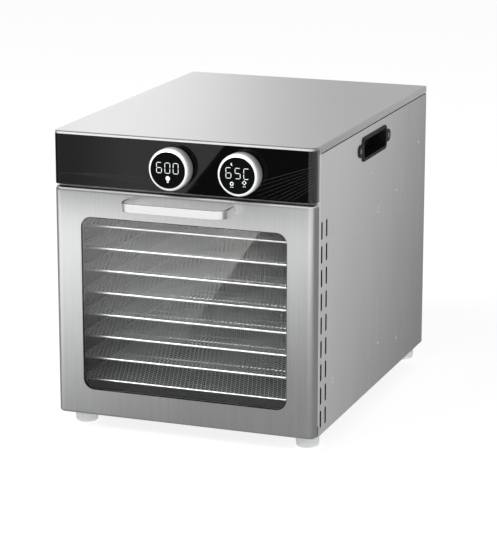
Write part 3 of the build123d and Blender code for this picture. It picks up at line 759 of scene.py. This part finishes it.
# ---- sub-assemblies
@dataclass
class Tray:
    """One sliding tray: a round wire rim, two cross bars and a floor of expanded mesh."""

    number: int
    rim_radius: float = 1.55 * MM
    corner: float = 6.0 * MM
    bar_radius: float = 1.1 * MM
    strand: tuple = (0.72 * MM, 0.45 * MM)
    pitch_across: float = 2.6 * MM
    pitch_along: float = 7.5 * MM

    def __post_init__(self) -> None:
        """Take the tray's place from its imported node."""
        self.body = f"tray_{self.number}"
        self.low, self.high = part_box(self.body)
        self.middle = (self.low + self.high) / 2
        self.width = self.high.x - self.low.x
        self.depth = self.high.y - self.low.y

    def rim(self, batch: Batch) -> None:
        """Add the rim: a circle carried round a rounded rectangle, in the plane of the tray."""
        inset = 2 * self.rim_radius
        line = rounded_outline(self.width - inset, self.depth - inset, self.corner, 7)
        path = np.column_stack([line[:, 0] + self.middle.x, line[:, 1] + self.middle.y])
        path = np.insert(path, 2, self.middle.z, axis=1)
        lift = everywhere(UP, path)
        side = np.cross(loop_tangents(path), lift)
        batch.put(*tube(path, side, lift, arc(self.rim_radius, 0, 360, 11)[:-1], closed=True))

    def bars(self, batch: Batch) -> None:
        """Add two straight round bars under the mesh, from rim to rim."""
        half = self.width / 2 - self.rim_radius
        for share in (1 / 3, 2 / 3):
            y, z = self.low.y + self.depth * share, self.low.z + self.bar_radius
            path = np.array([[-half, y, z], [half, y, z]])
            side = everywhere((0.0, 1.0, 0.0), path)
            section = arc(self.bar_radius, 0, 360, 9)[:-1]
            batch.put(*tube(path, side, everywhere(UP, path), section, closed=False))

    def mesh(self) -> Object:
        """The expanded floor: strands along Y that zigzag in X, each the mirror of its neighbour.

        Point i of strand j is at x = (j + 1/2) * pitch across, moved by half that pitch to one side
        where i + j is odd and to the other where it is even, and at y = i * pitch along. Its
        height goes up and down by a quarter of the strand's thickness. Its section is a flat bar.
        """
        wide = self.width - 2 * self.rim_radius
        long = self.depth - 2 * self.rim_radius
        strands = int(wide / self.pitch_across)
        steps = int(long / self.pitch_along)
        j, i = np.meshgrid(np.arange(strands), np.arange(steps + 1), indexing="ij")
        turn = np.where((i + j) % 2, 1, -1)
        x = (j + 0.5) / strands * wide - wide / 2 + turn * wide / strands / 2
        x = np.clip(x, -wide / 2, wide / 2)
        y = self.middle.y - long / 2 + i / steps * long
        z = self.middle.z + turn * self.strand[1] * 0.25
        centre = np.stack([x, y, z], axis=-1)
        w, t = self.strand[0] / 2, self.strand[1] / 2
        corners = np.array([[w, 0, -t], [w, 0, t], [-w, 0, t], [-w, 0, -t]])
        rings = centre[:, :, None] + corners[None, None]
        one = grid_faces(steps + 1, 4, False, True)
        ends = np.array([[0, 1, 2, 3], [4 * steps + 3, 4 * steps + 2, 4 * steps + 1, 4 * steps]])
        block = np.vstack([one, ends])
        faces = (block[None] + (np.arange(strands) * 4 * (steps + 1))[:, None, None]).reshape(-1, 4)
        return make_piece(f"{self.body}_mesh", rings.reshape(-1, 3), faces.tolist(), smooth=False)

    def build(self, finishes: Finishes) -> None:
        """Make the tray's pieces and let them ride with it."""
        batch = Batch()
        self.rim(batch)
        self.bars(batch)
        wire = batch.piece(f"{self.body}_rim", smooth=True)
        floor = self.mesh()
        finishes.put(wire, "tray_wire")
        finishes.put(floor, "tray_wire", finishes.of("tray_mesh"))
        for piece in (wire, floor):
            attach(piece, self.body)
        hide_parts(self.body)
        LOG.info("%s: %d faces of mesh", self.body, len(floor.data.polygons))


@dataclass
class DoorHandle:
    """The strap handle: a flat bar with softened edges bent into a U, its ends against the door."""

    thickness: float = 3.0 * MM
    edge: float = 0.7 * MM
    bend: float = 13.0 * MM
    steps: int = 12

    def path(self, half: float, reach: float, z: float) -> tuple[np.ndarray, np.ndarray]:
        """The bar's middle line: forward, round a quarter circle, across, round another, and back.

        Args:
            half: half the distance between the legs' middles.
            reach: how far the middle line stands off the door.
            z: height.

        Returns:
            The points, and the unit vectors square to them in the bar's plane.
        """
        turn = np.radians(np.linspace(0, 90, self.steps))
        left_x = -half + self.bend - self.bend * np.cos(turn)
        left_y = Y_FRONT - reach + self.bend - self.bend * np.sin(turn)
        x = np.concatenate([[-half], left_x, -left_x[::-1], [half]])
        y = np.concatenate([[Y_FRONT], left_y, left_y[::-1], [Y_FRONT]])
        out_x = np.concatenate([[-1.0], -np.cos(turn), np.cos(turn)[::-1], [1.0]])
        out_y = np.concatenate([[0.0], -np.sin(turn), -np.sin(turn)[::-1], [0.0]])
        flat = np.zeros_like(x)
        return np.stack([x, y, flat + z], axis=1), np.stack([out_x, out_y, flat], axis=1)

    def build(self, finishes: Finishes) -> None:
        """Make the strap and let it ride on the door."""
        low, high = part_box("door_handle")
        height = high.z - low.z
        half = (high.x - low.x) / 2 - self.thickness / 2
        reach = Y_FRONT - low.y - self.thickness / 2
        path, side = self.path(half, reach, (low.z + high.z) / 2)
        section = rounded_outline(self.thickness, height, self.edge, 4)
        strap = tube(path, side, everywhere(UP, path), section, closed=False)
        piece = make_piece("door_handle_strap", *strap)
        finishes.put(piece, "handle_steel")
        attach(piece, "door")
        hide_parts("door_handle")
        LOG.info("door handle: %d faces", len(piece.data.polygons))


@dataclass
class WindowSeal:
    """The rubber lip between the door's skin and its pane: a small bead round the window."""

    radius: float = 0.6 * MM
    inset: float = 0.3 * MM
    corner: float = 12.5 * MM
    width: float = 250.0 * MM
    bottom: float = 50.0 * MM
    top: float = 256.0 * MM

    def build(self, finishes: Finishes) -> None:
        """Make the bead: a circle carried round the window's rounded outline."""
        height = self.top - self.bottom
        line = rounded_outline(self.width - 2 * self.inset, height - 2 * self.inset, self.corner, 10)
        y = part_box("door_glass")[0].y - self.radius * 0.35
        path = np.insert(line + np.array([0.0, (self.top + self.bottom) / 2]), 1, y, axis=1)
        out = everywhere((0.0, -1.0, 0.0), path)
        side = np.cross(loop_tangents(path), out)
        section = arc(self.radius, 0, 360, 13)[:-1] * np.array([1.0, 0.6])
        piece = make_piece("window_lip", *tube(path, side, out, section, closed=True))
        finishes.put(piece, "seal_rubber")
        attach(piece, "door")


class Sign(Enum):
    """Which of a digit's seven bars are lit: top, upper right, lower right, bottom, lower left,
    upper left, middle."""

    ZERO = "1111110"
    FIVE = "1011011"
    SIX = "1011111"
    CELSIUS = "1001110"


@dataclass
class Readout:
    """The lit signs on one knob's window: a row of seven-bar digits, and small pictures.

    In millimetres from the window's middle, rings holds x, z, radius and number of sides, and
    dashes holds x, z, width, height and tilt in degrees.
    """

    side: str
    digits: tuple
    digit_xs: tuple
    digit_size: tuple = (6.6 * MM, 12.4 * MM)
    bar: float = 0.62 * MM
    gap: float = 0.5 * MM
    row_z: float = 2.6 * MM
    thickness: float = 0.08 * MM
    rings: tuple = ((-6.3, -9.4, 2.2, 20), (8.4, -7.4, 2.7, 4))
    dashes: tuple = (
        (-7.4, -13.2, 1.3, 0.8, 0.0),
        (-5.2, -13.2, 1.3, 0.8, 0.0),
        (7.4, -11.8, 1.2, 0.8, 0.0),
        (9.4, -11.8, 1.2, 0.8, 0.0),
        (-7.0, 13.0, 2.4, 0.9, 55.0),
        (-6.4, 11.6, 1.6, 0.9, -50.0),
    )

    def __post_init__(self) -> None:
        """Take the window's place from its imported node."""
        low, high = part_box(f"{self.side}_knob_display")
        self.x = (low.x + high.x) / 2
        self.z = (low.z + high.z) / 2
        self.layer = (low.y - self.thickness, low.y + self.thickness)

    def bar_outline(self, start: tuple, end: tuple) -> np.ndarray:
        """One bar, as a hexagon with pointed ends from start to end, in X and Z."""
        a, b = np.array(start, float), np.array(end, float)
        along = (b - a) / np.linalg.norm(b - a)
        across = np.array([-along[1], along[0]]) * self.bar / 2
        a, b = a + along * self.gap, b - along * self.gap
        tip = along * self.bar / 2
        return np.array([a, a + tip + across, b - tip + across, b, b - tip - across, a + tip - across])

    def digit(self, batch: Batch, sign: Sign, x: float, z: float) -> None:
        """Add one digit, centred on x and z, with the gap between its bars left dark."""
        w, h = self.digit_size[0] / 2 - self.bar / 2, self.digit_size[1] / 2 - self.bar / 2
        corner = {"tl": (-w, h), "tr": (w, h), "ml": (-w, 0), "mr": (w, 0), "bl": (-w, -h), "br": (w, -h)}
        bars = ("tl tr", "tr mr", "mr br", "bl br", "ml bl", "tl ml", "ml mr")
        for lit, ends in zip(sign.value, bars):
            if lit == "1":
                start, end = (corner[key] for key in ends.split())
                outline = self.bar_outline(start, end) + np.array([x, z])
                batch.slab(outline, *self.layer)

    def bulb(self, batch: Batch, x: float, z: float) -> None:
        """Add a small light bulb: a round head that narrows to a neck, and a base below it."""
        head = arc(2.5 * MM, -50, 230, 22)
        neck = np.array([[-1.1, -3.4], [1.1, -3.4]]) * MM
        base = np.array([[-1.0, -5.0], [1.0, -5.0], [1.2, -4.0], [-1.2, -4.0]]) * MM
        for outline in (np.vstack([head, neck]), base):
            batch.slab(outline + np.array([x, z]), *self.layer)

    def ring(self, batch: Batch, x: float, z: float, radius: float, sides: int) -> None:
        """Add a small ring of so many sides."""
        outer = arc(radius, 0, 360, sides + 1)[:-1]
        inner = outer * (1 - 0.9 * MM / radius)
        place = np.array([x, z])
        batch.ring(outer + place, inner + place, *self.layer)

    def mark(self, batch: Batch, x: float, z: float, width: float, height: float, tilt: float) -> None:
        """Add a small rounded dash."""
        line = rounded_outline(width, height, min(width, height) * 0.45, 4)
        angle = np.radians(tilt)
        turn = np.array([[np.cos(angle), np.sin(angle)], [-np.sin(angle), np.cos(angle)]])
        batch.slab(line @ turn + np.array([x, z]), *self.layer)

    def pictures(self, batch: Batch) -> None:
        """Add the small pictures round the digits."""
        if self.side == "left":
            self.bulb(batch, self.x, self.z - 9.0 * MM)
            return
        for x, z, radius, sides in self.rings:
            self.ring(batch, self.x + x * MM, self.z + z * MM, radius * MM, sides)
        for x, z, width, height, tilt in self.dashes:
            self.mark(batch, self.x + x * MM, self.z + z * MM, width * MM, height * MM, tilt)

    def build(self, finishes: Finishes, glow: Material) -> None:
        """Make the lit signs and let them ride on the knob."""
        batch = Batch()
        for sign, x in zip(self.digits, self.digit_xs):
            self.digit(batch, sign, self.x + x, self.z + self.row_z)
        self.pictures(batch)
        piece = batch.piece(f"{self.side}_knob_signs")
        finishes.put(piece, "display_window", glow)
        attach(piece, f"{self.side}_knob")


@dataclass
class PanelLines:
    """Fine printed lines on the black panel: a fan at the right, and long waves at the left.

    A line is a flat ribbon that follows the panel: straight across its front, then round the
    rolled corner, so a place on it is given by the distance along the front and the height.
    """

    half_width: float = 158.5 * MM
    corner: float = 9.0 * MM
    proud: float = 0.05 * MM
    focus: tuple = (233.0 * MM, 360.0 * MM)
    bottom: float = 293.5 * MM
    fan_count: int = 9
    fan_start: float = 90.0 * MM
    first_slope: float = 18.8
    slope_step: float = 1.75
    line_width: float = 0.22 * MM
    wave_count: int = 7
    wave_inset: float = 10.0 * MM
    wave_end: float = 20.0 * MM
    end_shift: float = 12.0 * MM
    wave_base: float = 304.0 * MM
    wave_fall: float = 9.0 * MM
    wave_swell: float = 7.0 * MM
    swell_loss: float = 4.0 * MM
    wave_turn: float = 2.6
    wave_phase: float = 0.5
    wave_half: float = 0.07 * MM

    def on_panel(self, along: np.ndarray, proud: float) -> tuple[np.ndarray, np.ndarray]:
        """Place points on the panel's surface.

        Args:
            along: distance from the middle, measured on the surface.
            proud: how far off the surface.

        Returns:
            X and Y of each point: flat up to the corner, then on its arc.
        """
        flat = self.half_width - self.corner
        angle = np.clip((np.abs(along) - flat) / self.corner, 0.0, np.pi / 2)
        radius = self.corner + proud
        x = np.where(angle > 0, flat + radius * np.sin(angle), np.abs(along)) * np.sign(along)
        y = Y_FRONT + self.corner - radius * np.cos(angle)
        return x, y

    def ribbon(self, batch: Batch, along: np.ndarray, z: np.ndarray, half: float) -> None:
        """Add one line of even width as a thin closed ribbon.

        Args:
            along: distances along the panel.
            z: heights.
            half: half the line's width.
        """
        slope = np.gradient(z, along)
        lift = half * np.sqrt(1 + slope**2)
        layers = ((self.proud, 1), (self.proud, -1), (-self.proud, -1), (-self.proud, 1))
        rows = []
        for proud, sign in layers:
            x, y = self.on_panel(along, proud)
            rows.append(np.stack([x, y, z + sign * lift], axis=1))
        points = np.stack(rows, axis=1).reshape(-1, 3)
        last = 4 * (len(along) - 1)
        caps = [[0, 1, 2, 3], [last + 3, last + 2, last + 1, last]]
        batch.put(points, [*grid_faces(len(along), 4, False, True), *caps])

    def fan(self, batch: Batch) -> None:
        """Add the fan: straight lines that would meet at the focus, past the panel's right edge."""
        edge = self.half_width - self.corner + self.corner * np.pi / 2 * 0.9
        for number in range(self.fan_count):
            rise = np.tan(np.radians(self.first_slope + self.slope_step * number))
            lowest = self.focus[0] - (self.focus[1] - self.bottom) / rise
            along = np.linspace(max(self.fan_start, lowest), edge, 40)
            half = self.line_width / 2 * (1.0 if number == 0 else 0.6)
            self.ribbon(batch, along, self.focus[1] - rise * (self.focus[0] - along), half)

    def waves(self, batch: Batch) -> None:
        """Add the waves: z = base - fall * reach + swell * (1 - reach) * sin(turn * reach + phase).

        Reach goes from 0 at the left to 1 at the right, and fall, swell and phase shift from
        line to line.
        """
        for number in range(self.wave_count):
            share = number / (self.wave_count - 1)
            end = self.wave_end - self.end_shift * share
            along = np.linspace(self.wave_inset - self.half_width, end, 70)
            reach = (along - along[0]) / (along[-1] - along[0])
            swell = (self.wave_swell - self.swell_loss * share) * (1 - reach)
            angle = self.wave_turn * reach + self.wave_phase * share
            z = self.wave_base - self.wave_fall * share * reach + swell * np.sin(angle)
            keep = z > self.bottom
            self.ribbon(batch, along[keep], z[keep], self.wave_half)

    def build(self, finishes: Finishes, ink_with_painted_glow: Material, faint: Material) -> None:
        """Make both sets of lines and let them ride on the cabinet."""
        sets = (("panel_fan_lines", self.fan, ink_with_painted_glow), ("panel_wave_lines", self.waves, faint))
        for name, draw, material in sets:
            batch = Batch()
            draw(batch)
            piece = batch.piece(name)
            finishes.put(piece, "black_glass", material)
            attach(piece, "cabinet")


@dataclass
class Knobs:
    """The two display knobs: turned rings, lit signs and their still cores."""

    glow: LitSign = LitSign("lit_segments")

    def build(self, finishes: Finishes) -> None:
        """Dress the rings about their own axes and add the lit signs."""
        glow = self.glow.build()
        for side in ("left", "right"):
            low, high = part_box(f"{side}_knob_ring")
            centre = tuple((low + high) / 2)
            finishes.dress_node(f"{side}_knob_ring", TurnedMetal(f"{side}_ring_metal", centre).build())
        left = Readout("left", (Sign.SIX, Sign.ZERO, Sign.ZERO), (-10.4 * MM, -0.4 * MM, 9.6 * MM))
        right = Readout("right", (Sign.SIX, Sign.FIVE, Sign.CELSIUS), (-10.2 * MM, 0.6 * MM, 10.8 * MM))
        for readout in (left, right):
            readout.build(finishes, glow)
        LOG.info("knobs: rings and signs")


# ---- studio
@dataclass
class Studio:
    """The floor, soft lights, reflecting cards and the camera. None of it is part of the object."""

    floor_half: float = 12.0
    world: float = 0.28
    azimuth: float = 20.345
    elevation: float = 14.324
    distance: float = 2.8222
    lens: float = 154.16
    aim: tuple = (-0.00063, 0.0165, 0.15175)

    def back(self) -> Vector:
        """The unit vector from the object towards the camera."""
        az, el = np.radians(self.azimuth), np.radians(self.elevation)
        return Vector((np.sin(az) * np.cos(el), -np.cos(az) * np.cos(el), np.sin(el)))

    def camera(self) -> None:
        """Place the camera and make it the scene's."""
        data = bpy.data.cameras.new("camera")
        data.lens = self.lens
        data.sensor_width = 36.0
        data.clip_end = 100.0
        camera = bpy.data.objects.new("camera", data)
        camera.location = Vector(self.aim) + self.back() * self.distance
        camera.rotation_euler = self.back().to_track_quat("Z", "Y").to_euler()
        bpy.context.scene.collection.objects.link(camera)
        bpy.context.scene.camera = camera

    def floor(self) -> None:
        """A plain pale floor that takes a soft shadow."""
        half = self.floor_half
        corners = rectangle((-half, -half, 0.0), (half, half, 0.0))
        piece = make_piece("studio_floor", corners, [[0, 1, 2, 3]], smooth=False)
        tree = Tree("studio_floor")
        tree.feed(Base_Color=grey(0.5), Roughness=0.9, Specular_IOR_Level=0.1)
        tree.feed(Emission_Color=grey(1.0), Emission_Strength=0.8)
        piece.data.materials.append(tree.material)
        piece.visible_glossy = False

    def surroundings(self) -> None:
        """An even pale world."""
        world = bpy.data.worlds.new("studio")
        world.use_nodes = True
        background = world.node_tree.nodes["Background"]
        background.inputs["Color"].default_value = grey(1.0)
        background.inputs["Strength"].default_value = self.world
        bpy.context.scene.world = world
        bpy.context.scene.view_settings.view_transform = "Standard"

    def lamp(self, name: str, place: tuple, aim: tuple, size: tuple, power: float) -> Object:
        """Add a soft rectangular lamp.

        Args:
            name: its name.
            place: where it stands.
            aim: the point that it faces.
            size: width and height.
            power: watts.

        Returns:
            The lamp.
        """
        data = bpy.data.lights.new(name, "AREA")
        data.shape = "RECTANGLE"
        data.size, data.size_y = size
        data.energy = power
        lamp = bpy.data.objects.new(name, data)
        lamp.location = place
        lamp.rotation_euler = (Vector(place) - Vector(aim)).to_track_quat("Z", "Y").to_euler()
        bpy.context.scene.collection.objects.link(lamp)
        return lamp

    def lit_only(self, source: Object, nodes: list) -> None:
        """Let a lamp or card light only these objects.

        Args:
            source: the lamp or card.
            nodes: the objects it lights.
        """
        group = bpy.data.collections.new(source.name + "_lights")
        for piece in nodes:
            group.objects.link(piece)
        source.light_linking.receiver_collection = group

    def card(
        self,
        name: str,
        corners: np.ndarray,
        nodes: list,
        tone: tuple,
        along: tuple = UP,
        span: tuple = (0.0, 1.0),
    ) -> None:
        """Add a glowing card that only reflections see, and that rays pass through.

        Its brightness runs from tone[0] to tone[1] as place . along runs over span.

        Args:
            name: its name.
            corners: four points.
            nodes: the objects that mirror it.
            tone: brightness at the two ends of the span.
            along: the direction in which it changes.
            span: the two ends.
        """
        piece = make_piece(name, corners, [[0, 1, 2, 3]], smooth=False)
        tree = Tree(name)
        dot = tree.add("VectorMath", operation="DOT_PRODUCT")
        dot.inputs[1].default_value = along
        tree.join(tree.place, dot.inputs[0])
        ramp = tree.ranged(dot.outputs["Value"], tone[0], tone[1], span[0], span[1])
        ramp.node.interpolation_type = "SMOOTHSTEP"
        glow = tree.add("Emission")
        tree.join(ramp, glow.inputs["Strength"])
        clear = tree.add("BsdfTransparent")
        total = tree.add("AddShader")
        tree.join(glow.outputs[0], total.inputs[0])
        tree.join(clear.outputs[0], total.inputs[1])
        tree.join(total.outputs[0], tree.output.inputs["Surface"])
        piece.data.materials.append(tree.material)
        piece.visible_camera = False
        piece.visible_diffuse = False
        piece.visible_shadow = False
        piece.visible_transmission = False
        self.lit_only(piece, nodes)

    def build(self) -> None:
        """Set up the studio."""
        self.camera()
        self.floor()
        self.surroundings()
        nodes = frame["nodes"]
        self.lamp("key", (-1.6, -2.0, 2.4), CABINET_MIDDLE, (1.8, 1.8), 46.0).visible_glossy = False
        self.lamp("fill", (2.2, -1.6, 1.5), CABINET_MIDDLE, (1.6, 1.6), 14.0).visible_glossy = False
        self.lamp("chamber_lamp", (0.0, -0.01, 0.2675), (0.0, -0.01, 0.0), (0.05, 0.026), 0.9)
        inner = [nodes[n] for n in nodes if n.startswith("chamber_") or n.endswith("_rails")]
        inner += [nodes["rear_baffle"], *(o for o in bpy.data.objects if o.name.startswith("tray_"))]
        front = self.lamp("front_lamp", (-0.5, -1.4, 0.75), CABINET_MIDDLE, (1.1, 0.7), 26.0)
        self.lit_only(front, inner)
        rings = [nodes["left_knob_ring"], nodes["right_knob_ring"]]
        self.lit_only(self.lamp("ring_lamp", (-0.7, -1.6, 1.3), (0, -0.2, 0.32), (0.6, 0.6), 30.0), rings)
        self.cards(nodes, rings)

    def cards(self, nodes: dict, rings: list) -> None:
        """Set up the glowing cards, each seen in the mirror of a few nodes only.

        No two cards share a plane, since of two such clear surfaces only one would be seen.

        Args:
            nodes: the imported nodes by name.
            rings: the knobs' rings.
        """
        handle = bpy.data.objects["door_handle_strap"]
        door, trim, cover = nodes["door_skin"], nodes["front_frame"], nodes["top_cover"]
        panel = nodes["control_panel"]
        y = Y_FRONT - 0.16
        slant, run = (-0.45, 0.0, 1.0), (-0.023, 0.387)
        low = rectangle((-0.7, y, -0.6), (0.6, y, 0.235))
        tall = rectangle((-0.7, y - 0.01, -0.6), (0.6, y - 0.01, 0.4))
        further = tall - np.array([0.0, 0.01, 0.0])
        self.card("door_card", low, [door, nodes["door_inner_frame"]], (0.03, 1.25), slant, run)
        self.card("trim_card", tall, [trim, cover], (0.03, 1.07), slant, run)
        self.card("handle_card", further, [handle, *rings], (0.85, 0.85))
        roof = rectangle((-1.2, -1.6, 1.0), (1.0, 0.8, 1.0))
        self.card("top_card", roof, [door, trim, handle, *rings], (0.75, 0.75))
        side = rectangle((0.31, -0.6, -0.7), (0.31, 1.3, 0.8))
        beside = [nodes["right_side_panel"], trim, nodes["side_rivets"]]
        self.card("side_card", side, beside, (0.55, 0.0), (0.0, 1.0, -0.8), (0.02, 0.6))
        turn = np.radians(self.azimuth)
        across = np.array([np.cos(turn), np.sin(turn), 0.0])
        left, right = (np.array([-0.28, 0.75, 0.0]) + sign * 1.2 * across for sign in (-1, 1))
        rise = np.array([0.0, 0.0, 1.6])
        wall = np.array([left, right, right + rise, left + rise])
        self.card("back_card", wall, [cover], (0.92, 0.3), tuple(across), (-0.19, 0.16))
        y = Y_FRONT - 0.12
        sheen = np.array([[-0.0969, y, 0.1983], [0.0483, y, 0.3784], [-0.45, y, 0.3784], [-0.45, y, 0.1983]])
        self.card("panel_card", sheen, [panel], (1.6, 3.2), (1.0, 0.0, 0.0), (-0.2, -0.1))
        y = Y_FRONT - 0.2
        veil = np.array([[-0.1463, y, -0.0319], [0.0728, y, 0.2805], [-0.6, y, 0.2805], [-0.6, y, -0.0319]])
        self.card("glass_card", veil, [nodes["door_glass"]], (0.0, 5.2), UP, (0.02, 0.19))
        corner = rectangle((0.0, -0.7, -0.3), (0.9, -0.7, 0.6))
        beyond = rectangle((0.9, -0.7, -0.3), (0.9, 1.5, 0.6))
        for name, place in (("corner_card", corner), ("corner_card_side", beyond)):
            self.card(name, place, [panel], (4.0, 4.0))
        nearer = corner + np.array([0.0, 0.02, 0.0])
        self.card("edge_card", nearer, [door], (0.0, 0.6), UP, (-0.1, 0.15))


def main() -> None:
    logging.basicConfig(level=logging.INFO)
    finishes = Finishes()
    finishes.dress_nodes()
    finishes.paint_slot_shade()
    for number in range(1, 9):
        Tray(number).build(finishes)
    DoorHandle().build(finishes)
    WindowSeal().build(finishes)
    # the printed panel lines get a faint painted glow on top of their ink colour
    ink_with_painted_glow = LitSign("printed_ink_painted_glow", (0.16, 0.16, 0.165), 0.05).build()
    faint = LitSign("faint_ink_painted_glow", (0.1, 0.1, 0.104), 0.05).build()
    PanelLines().build(finishes, ink_with_painted_glow, faint)
    Knobs().build(finishes)
    Studio().build()


if __name__ == "__main__":
    main()
